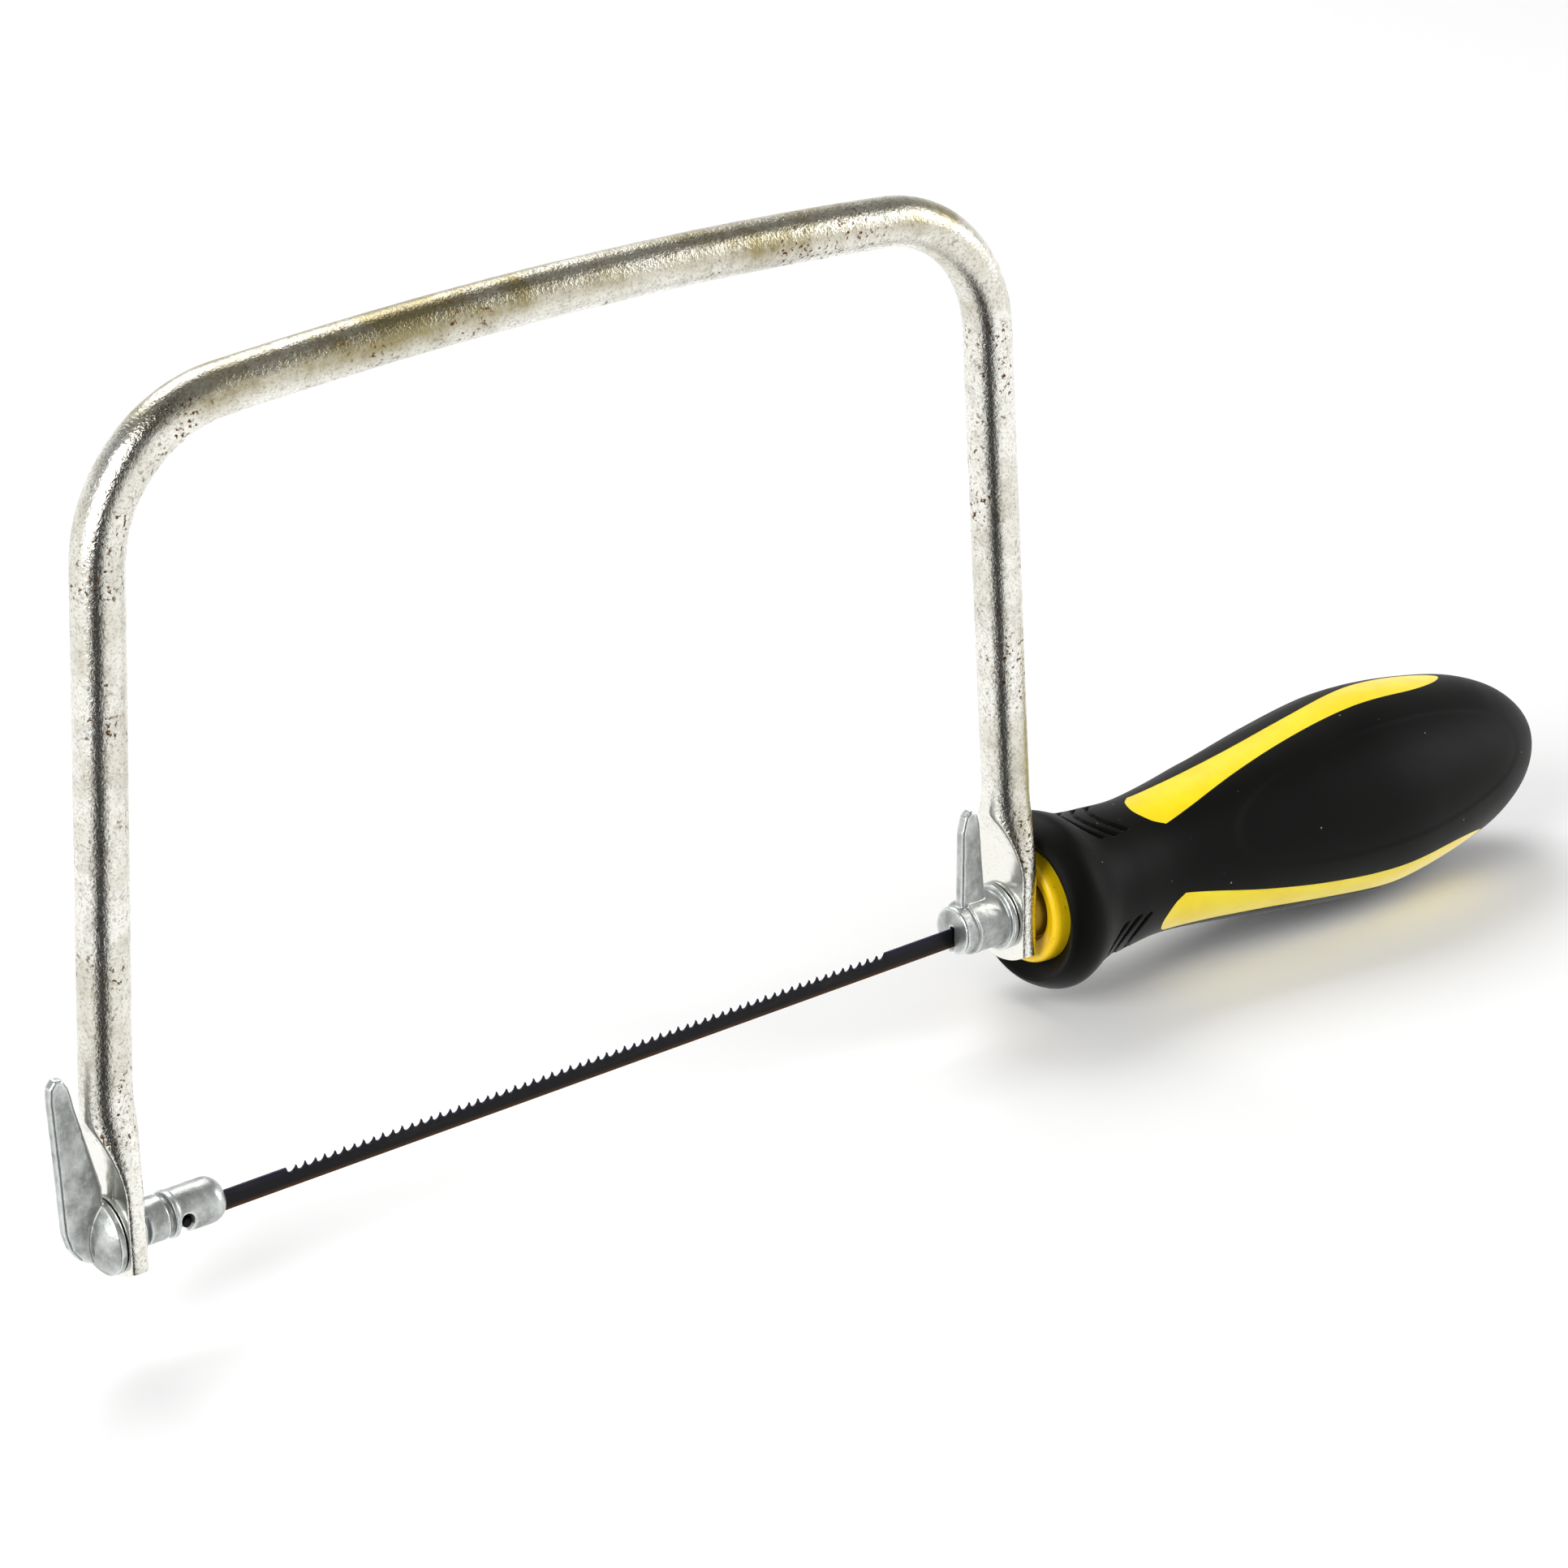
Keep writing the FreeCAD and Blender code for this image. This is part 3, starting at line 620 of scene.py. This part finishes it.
def mark_edges(obj):
    """Stores how strongly each point stands out from its surroundings, as the mask of the painted highlight
    on edges.
    """
    mesh = obj.data
    count = len(mesh.vertices)
    points = np.zeros(count * 3)
    mesh.vertices.foreach_get("co", points)
    points = points.reshape(-1, 3)
    normals = np.array([n.vector for n in mesh.vertex_normals])
    pairs = np.zeros(len(mesh.edges) * 2, int)
    mesh.edges.foreach_get("vertices", pairs)
    a, b = pairs.reshape(-1, 2).T
    links = np.bincount(np.concatenate((a, b)), minlength=count)[:, None]
    flat = points.copy()
    for _ in range(EDGE_ROUNDS):
        total = np.zeros_like(flat)
        np.add.at(total, a, flat[b])
        np.add.at(total, b, flat[a])
        flat = total / np.maximum(links, 1)
    stand_out = ((points - flat) * normals).sum(1) / (EDGE_FULL * MM)
    attribute = mesh.attributes.new("edge", "FLOAT", "POINT")
    attribute.data.foreach_set("value", np.clip(stand_out, 0, 1).astype(np.float32))


def washer(material):
    low, high = (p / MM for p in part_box("front_washer"))
    inner = STUD_R + 0.05
    middle = (low.x + high.x) / 2
    outline = [(middle, inner), (low.x, inner), (low.x, high.y), (high.x, high.y), (high.x, inner),
               (middle, inner)]
    profile = rounded_steps(outline, 0.22)
    obj = turned("front_washer_ring", profile[:-1], 72, closed_loop=True)
    return place(obj, "front_washer", "front_holder", material)


# ---- threads ---------------------------------------------------------------------------
def thread_depth(x, angle):
    """Rounded V thread: how far the surface lies inside the crest."""
    turn = (x / THREAD_PITCH - angle / (2 * math.pi)) % 1.0
    return -THREAD_DEPTH * (1 - abs(2 * turn - 1) ** 1.2)


def tension_stud(material):
    low, high = (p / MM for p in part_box("tension_stud"))
    plain = low.x + 2.4
    profile = [(low.x, 0.02), (low.x, 2.1), (low.x + 0.25, STUD_R - 0.02), (plain, STUD_R - 0.02)]
    steps = int((high.x - 0.6 - plain) / THREAD_PITCH * 10)
    profile += [(plain + 0.2 + i * THREAD_PITCH / 10, STUD_R) for i in range(steps)]
    profile += [(high.x, 1.9), (high.x, 0.02)]

    def depth(x, angle, radius):
        cut = radius >= STUD_R and plain < x < high.x - 0.3
        return thread_depth(x, angle) if cut else 0.0

    obj = turned("stud_thread", profile, 48, offset=depth)
    return place(obj, "tension_stud", "stud", material)


def handle_insert(material):
    """Bush with a head that bears on the tab, and a real thread inside."""
    low, high = (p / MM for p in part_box("handle_insert"))
    bore = STUD_R + 0.06
    steps = int((high.x - low.x - 1.6) / THREAD_PITCH * 10)
    inner = [(high.x - 0.7 - i * THREAD_PITCH / 10, bore) for i in range(steps)]
    head = INSERT_HEAD_R - 0.02
    shank = INSERT_R - 0.02
    outer = [(low.x + 0.35, bore), (low.x, bore + 0.35), (low.x, INSERT_HEAD_R - 0.3), (low.x + 0.3, head),
             (BORE_X - 0.1, head), (BORE_X, shank), (high.x - 0.25, shank), (high.x, INSERT_R - 0.25),
             (high.x, bore + 0.35)]

    def depth(x, angle, radius):
        cut = radius == bore and low.x + 0.6 < x < high.x - 0.6
        return THREAD_DEPTH + thread_depth(x, angle) if cut else 0.0

    obj = turned("threaded_bush", outer + inner, 48, closed_loop=True, offset=depth)
    return place(obj, "handle_insert", "handle", material)


# ---- blade -----------------------------------------------------------------------------
def tooth_height(u):
    """Depth of the rounded gullet at u of the way from one tooth to the next, with a slight hook."""
    return math.sin(math.pi * u ** 0.88) ** 0.62


def blade(material):
    """Toothed strip as rows of points from the back up to the teeth, on both faces."""
    top = BLADE_WIDTH / 2 - BLADE_DROP
    bottom = -BLADE_WIDTH / 2 - BLADE_DROP
    tooth_start = (PIN_SPAN - TOOTH_COUNT * TOOTH_PITCH) / 2
    per_tooth = 12
    columns = [(-BLADE_OVERHANG, top, 0.0), (-BLADE_OVERHANG + 0.3, top, 0.0)]
    columns += [(x, top, 0.0) for x in np.linspace(0, tooth_start - 0.05, 12)]
    for i in range(TOOTH_COUNT):
        for k in range(per_tooth):
            u = k / per_tooth
            x = tooth_start + (i + u) * TOOTH_PITCH
            drop = TOOTH_DEPTH * tooth_height(u) if k else 0.0
            lean = TOOTH_SET * math.cos(math.pi * (i + u))
            columns.append((x, top - drop, lean * (1 - drop / TOOTH_DEPTH)))
    tooth_stop = tooth_start + TOOTH_COUNT * TOOTH_PITCH
    columns += [(x, top, 0.0) for x in np.linspace(tooth_stop, PIN_SPAN, 12)]
    columns += [(PIN_SPAN + BLADE_OVERHANG - 0.3, top, 0.0), (PIN_SPAN + BLADE_OVERHANG, top, 0.0)]
    half = BLADE_THICK / 2
    bevel = 0.05
    points = []
    root = top - TOOTH_DEPTH - 0.15
    for x, crest, lean in columns:
        ring = [(-half + bevel, bottom, 0), (-half, bottom + bevel, 0), (-half, root, 0),
                (-half, crest - bevel, lean), (-half + bevel, crest, lean), (half - bevel, crest, lean),
                (half, crest - bevel, lean), (half, root, 0), (half, bottom + bevel, 0),
                (half - bevel, bottom, 0)]
        points += [(x, y + shift, z) for y, z, shift in ring]
    obj = make_object("blade_strip", points, ring_faces(len(columns), 10), 35.0)
    return place(obj, "blade", "front_holder", material)


def blade_pin(name, node, x, material):
    """Cross pin with rounded ends."""
    half = PIN_LENGTH / 2
    profile = [(-half, 0.02), (-half, PIN_R), (half, PIN_R), (half, 0.02)]
    obj = turned(name, rounded_steps(profile, 0.2), 32, sharp=40.0)
    turn = Matrix.Rotation(math.pi / 2, 4, "Z")
    obj.data.transform(Matrix.Translation((x * MM, 0, -BLADE_DROP * MM)) @ turn)
    return place(obj, node, "front_holder", material)


# ---- handle ----------------------------------------------------------------------------
GRIP_AROUND = 288
GRIP_OUTLINE = [
    (173.0, 13.75), (173.3, 14.2), (174.3, 15.0), (176.3, 16.0), (178.2, 16.2), (180.2, 15.6), (182.5, 14.6),
    (184.7, 13.85), (187.5, 13.4), (191.0, 13.1), (199.0, 12.6), (208.2, 13.4), (221.0, 15.3), (233.3, 17.2),
    (244.7, 18.6), (252.5, 19.03), (260.0, 18.6), (270.0, 17.2), (280.0, 15.0), (288.0, 11.6), (293.5, 7.4),
    (296.2, 3.4), (296.95, 0.03),
]
# window edge as (x, distance from its middle line), from the neck to the pointed end
WINDOW_SIDE = [(200.3, 5.0), (207.0, 4.4), (213.0, 3.8), (219.0, 3.3), (226.0, 2.95), (233.0, 2.85),
               (241.0, 2.95), (249.0, 3.4), (257.0, 4.0), (264.0, 4.2), (269.5, 3.6), (274.0, 2.2)]
WINDOW_TIP = (276.4, 0.0)
WINDOW_END = [(200.3, -5.0), (198.0, -3.2), (196.7, 0.0), (198.0, 3.2), (200.3, 5.0)]


def panel_turn(angle, turn):
    """Angle on from the middle of the near panel plus a turn, between -pi and pi."""
    return (angle - math.radians(PANEL_ANGLE + turn) + math.pi) % (2 * math.pi) - math.pi


def groove_offset(x, angle, radius):
    """Depth of the three bowed thumb grooves between the collar and each window."""
    depth = 0.0
    for turn, _ in WINDOWS:
        away = panel_turn(angle, turn)
        if abs(away) > 0.6:
            continue
        w = radius * math.sin(away)
        for middle, reach in GROOVES:
            across = (x - middle - GROOVE_BOW * w * w) / math.hypot(1.0, 2 * GROOVE_BOW * w)
            beyond = max(abs(w) - reach + 0.3, 0.0)
            depth = max(depth, smoothstep(1.35 * (1 - math.hypot(beyond, across) / GROOVE_REACH)))
    return -GROOVE_DEPTH * depth


def oval_offset(x, angle, radius):
    """Depth of the shallow oval field on each rubber panel."""
    step = 0.0
    for turn in PANELS:
        away = panel_turn(angle, turn)
        reach = math.hypot((x - OVAL_CENTRE) / OVAL_HALF_LENGTH, radius * away / OVAL_HALF_WIDTH)
        step = max(step, smoothstep((1.035 - reach) / 0.07))
    return -OVAL_STEP * step


def grip_offset(x, angle, radius):
    if 180.0 < x < 195.0:
        return groove_offset(x, angle, radius)
    if abs(x - OVAL_CENTRE) < OVAL_HALF_LENGTH + 3:
        return oval_offset(x, angle, radius)
    return 0.0


def grip_rings():
    """Outline of the rubber as closely spaced (x, radius) rings, closest at the grooves."""
    fine = catmull(GRIP_OUTLINE, 60)
    rings = [fine[0]]
    for point in fine[1:]:
        gap = 0.28 if 180.0 < point[0] < 194.0 else 0.6
        if np.linalg.norm(point - rings[-1]) >= gap:
            rings.append(point)
    rings.append(fine[-1])
    return rings


def window_prism(turn, lean):
    """Long radial prism through one opening in the rubber."""
    around = WINDOW_SIDE + [WINDOW_TIP] + [(x, -w) for x, w in reversed(WINDOW_SIDE)]
    loop = catmull(around, 12)[:-1] + catmull(WINDOW_END, 12)[:-1]
    tilt = math.radians(lean)
    roll = math.radians(90 - PANEL_ANGLE - turn)
    points = []
    for depth in (5.0, 26.0):
        for x, w in loop:
            along = WINDOW_PIVOT + (x - WINDOW_PIVOT) * math.cos(tilt) - w * math.sin(tilt)
            y = (x - WINDOW_PIVOT) * math.sin(tilt) + w * math.cos(tilt)
            points.append((along, y * math.cos(roll) - depth * math.sin(roll),
                           y * math.sin(roll) + depth * math.cos(roll)))
    return make_object("window", points, ring_faces(2, len(loop)), 30.0)


def grip(material):
    outside = grip_rings()
    inside = [(x, r - GRIP_SKIN) for x, r in outside if 186.0 < x < 288.0][::-6]
    cavity = [(291.0, 0.03), (290.6, 5.0)] + inside + [(184.6, NOSE_R + 0.3), (LIP_X, NOSE_R + 0.02)]
    hollow = [(LIP_X - 0.1, NOSE_R + 0.25), (173.3, 12.9), (173.05, 13.25)]
    outer_radii = {r for x, r in outside}

    def skin(x, angle, radius):
        return grip_offset(x, angle, radius) if radius in outer_radii else 0.0

    obj = turned("rubber_grip", cavity + hollow + outside, GRIP_AROUND, offset=skin)
    for turn, lean in WINDOWS:
        boolean(obj, window_prism(turn, lean), "DIFFERENCE")
    finish_mesh(obj, 32.0)
    return place(obj, "handle_grip", "handle", material)


def core(material):
    """Nose round the bush, the straight front, the hidden body and the three window pads."""
    bore_end = BORE_X + INSERT_LENGTH
    bore = [(bore_end, 0.03), (bore_end, INSERT_R + 0.02), (BORE_X, INSERT_R + 0.02), (BORE_X, NOSE_HOLE_R)]
    nose = [
        (NOSE_X + 1.6, NOSE_HOLE_R), (NOSE_X + 1.05, 6.6), (NOSE_X + 0.65, 7.5), (NOSE_X + 0.3, 8.4),
        (NOSE_X + 0.04, 9.0), (NOSE_X + 0.08, 9.45), (NOSE_X + 0.4, 9.95), (NOSE_X + 1.0, 10.25),
        (NOSE_X + 2.0, NOSE_R - 0.03),
    ]
    outside = grip_rings()
    hidden = [(x, r - GRIP_SKIN - 0.05) for x, r in outside if 186.5 < x < 286.0][::6]
    back = [(CORE_JOIN - 0.6, NOSE_R - 0.1)] + hidden + [(288.5, 4.0), (288.6, 0.03)]
    front = turned("nose", bore + catmull(nose, 8) + back, 144, sharp=40.0)
    pads = []
    for turn, lean in WINDOWS:
        pad = turned("pad", [(x, max(r - PAD_SUNK, 0.03)) for x, r in outside], GRIP_AROUND)
        boolean(pad, window_prism(turn, lean), "INTERSECT")
        pads.append(finish_mesh(pad, 32.0))
    obj = join("yellow_core", [front] + pads)
    obj.data.polygons.foreach_set("use_smooth", [True] * len(obj.data.polygons))
    obj.data.set_sharp_from_angle(angle=math.radians(35))
    return place(obj, "handle_core", "handle", material)


# ---- stage -----------------------------------------------------------------------------
def look_matrix(location, target, roll=0.0):
    """Matrix of an object that looks along its own -Z at the target."""
    rotation = (target - location).to_track_quat("-Z", "Y").to_matrix().to_4x4()
    return Matrix.Translation(location) @ rotation @ Matrix.Rotation(roll, 4, "Z")


def view_direction():
    return Vector((math.sin(CAMERA_AZIMUTH) * math.cos(CAMERA_FALL),
                   math.cos(CAMERA_AZIMUTH) * math.cos(CAMERA_FALL), -math.sin(CAMERA_FALL)))


def add_camera():
    data = bpy.data.cameras.new("camera")
    data.lens = CAMERA_LENS
    data.sensor_width = 36.0
    data.clip_start = 0.01
    camera = bpy.data.objects.new("camera", data)
    bpy.context.scene.collection.objects.link(camera)
    location = CAMERA_AIM - view_direction() * CAMERA_DISTANCE
    camera.matrix_world = look_matrix(location, CAMERA_AIM, CAMERA_ROLL)
    bpy.context.scene.camera = camera


def add_softbox(name, direction, distance, size, power):
    """Large area light that faces the saw from a direction."""
    data = bpy.data.lights.new(name, "AREA")
    data.shape = "RECTANGLE"
    data.size = size[0]
    data.size_y = size[1]
    data.energy = power
    light = bpy.data.objects.new(name, data)
    bpy.context.scene.collection.objects.link(light)
    centre = cad_centre()
    light.matrix_world = look_matrix(centre + Vector(direction).normalized() * distance, centre)


def cad_centre():
    low, high = cad_box
    return (Vector(low) + Vector(high)) / 2


def add_floor(material):
    """Wide plain disc just under the lowest point of the saw."""
    radius = 3.0
    height = cad_box[0][2] - 0.0004
    segments = 96
    points = [(0, 0, height)]
    for j in range(segments):
        a = 2 * math.pi * j / segments
        points.append((radius * math.cos(a), radius * math.sin(a), height))
    faces = [(0, 1 + j, 1 + (j + 1) % segments) for j in range(segments)]
    floor = make_object("floor", [Vector(p) / MM for p in points], faces)
    floor.data.materials.append(material)
    floor.visible_glossy = False


def add_world():
    """White below and round the horizon, grey overhead, with a dark band where the camera stands."""
    world = bpy.data.worlds.new("studio")
    world.use_nodes = True
    tree = world.node_tree

    def step(kind, operation, *inputs):
        node = tree.nodes.new(kind)
        node.operation = operation
        for socket, value in zip(node.inputs, inputs):
            if isinstance(value, bpy.types.NodeSocket):
                tree.links.new(value, socket)
            else:
                socket.default_value = value
        return node.outputs["Value"] if operation == "DOT_PRODUCT" else node.outputs[0]

    def fade(value, low, high, to_low, to_high):
        node = tree.nodes.new("ShaderNodeMapRange")
        tree.links.new(value, node.inputs[0])
        for index, level in enumerate((low, high, to_low, to_high)):
            node.inputs[index + 1].default_value = level
        return node.outputs[0]

    direction = tree.nodes.new("ShaderNodeTexCoord").outputs["Generated"]
    split = tree.nodes.new("ShaderNodeSeparateXYZ")
    tree.links.new(direction, split.inputs[0])
    flat = step("ShaderNodeVectorMath", "MULTIPLY", direction, (1.0, 1.0, 0.0))
    flat = step("ShaderNodeVectorMath", "NORMALIZE", flat)
    towards = Vector((-math.sin(CAMERA_AZIMUTH), -math.cos(CAMERA_AZIMUTH), 0.0))
    band = fade(step("ShaderNodeVectorMath", "DOT_PRODUCT", flat, towards), 0.81, 0.955, 1.0, 0.04)
    sky = fade(split.outputs[2], 0.04, 0.55, 1.15, 0.32)
    level = step("ShaderNodeMath", "MULTIPLY", band, sky)
    tree.links.new(level, tree.nodes["Background"].inputs["Strength"])
    tree.nodes["Background"].inputs["Color"].default_value = (1.0, 1.0, 0.99, 1.0)
    bpy.context.scene.world = world


def build_stage():
    bpy.context.scene.view_settings.view_transform = "Standard"
    add_camera()
    add_world()
    add_floor(pale_floor())
    add_softbox("key_left", (-1.0, -0.30, 0.5), 1.1, (0.5, 0.9), 9.0)
    add_softbox("fill_right", (1.0, -0.55, 0.45), 1.3, (0.5, 0.8), 6.0)
    add_softbox("back_top", (0.2, 1.0, 1.2), 1.3, (1.0, 0.7), 10.0)


# ---- the saw ---------------------------------------------------------------------------
def build_saw():
    cast = die_cast()
    dark = blade_steel()
    bow(plated_bar())
    cast_piece("front_wing", "front_wing_head", "front_holder", cast)
    cast_piece("front_cup", "front_post", "front_holder", cast)
    cast_piece("rear_cup", "rear_holder", "rear_holder", cast)
    washer(steel("washer_steel", srgb(0.78, 0.78, 0.76), 0.3))
    tension_stud(steel("stud_steel", srgb(0.74, 0.74, 0.72), 0.28))
    handle_insert(steel("insert_steel", srgb(0.76, 0.74, 0.68), 0.26))
    blade(dark)
    blade_pin("front_pin", "front_blade_pin", 0.0, dark)
    blade_pin("rear_pin", "rear_blade_pin", PIN_SPAN, dark)
    grip(black_rubber())
    core(yellow_plastic())


build_stage()
build_saw()
